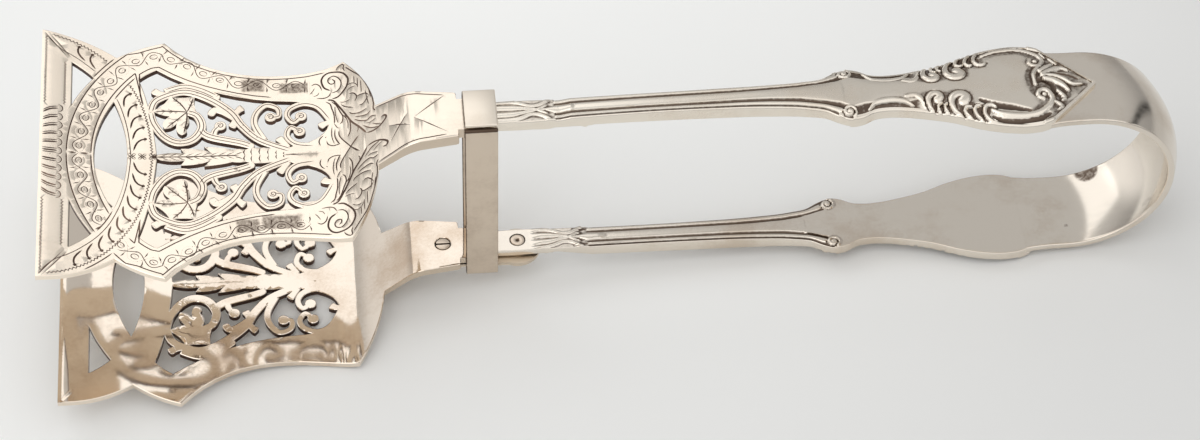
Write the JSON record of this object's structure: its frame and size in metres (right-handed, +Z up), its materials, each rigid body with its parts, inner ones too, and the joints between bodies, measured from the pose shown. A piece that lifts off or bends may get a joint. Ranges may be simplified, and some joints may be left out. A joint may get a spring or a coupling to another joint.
{
  "type": "asparagus tongs",
  "caption": "Asparagus tongs: broad pierced blades on relief-decorated arms, joined by a springy bow and guided by a rectangular collar at the neck.",
  "frame": {"origin": "centre of the footprint, on the surface that the tongs lie on", "axes": "+X from the blades' tips to the bow, +Z up, the way the blades open"},
  "size_m": [0.2448, 0.069, 0.0531],
  "materials": {
    "upper_blade": "polished silver with bright-cut engraving and tarnish in the cuts",
    "upper_arm": "die-struck silver, polished high parts and dark recesses",
    "lower_blade": "plain silver with a soft satin wear and light tarnish",
    "lower_arm": "die-struck silver, polished high parts and dark recesses",
    "bow_spring": "plain polished silver strap",
    "collar": "satin-worn silver with soft edges",
    "saddle_plate": "tarnished silver plate",
    "fasteners": "tarnished silver with dark rings"
  },
  "bodies": {
    "lower_half": {"lower_blade": "lower_blade", "lower_arm": "lower_arm", "collar_frame": "collar", "collar_cap": "collar", "saddle_plate": "saddle_plate", "blade_screw": "fasteners", "arm_pin": "fasteners", "bow_spring": "bow_spring"},
    "upper_half": {"upper_blade": "upper_blade", "upper_arm": "upper_arm"}
  },
  "joints": [
    {"name": "squeeze", "type": "hinge", "parent": "lower_half", "child": "upper_half", "pos_m": [0.10021, 0, 0.04231], "axis": [0, -1, 0], "range_deg": [0, 6.5], "stiffness_Nm_per_rad": 11, "springref_deg": -1.15, "deforming": ["bow_spring"]}
  ]
}
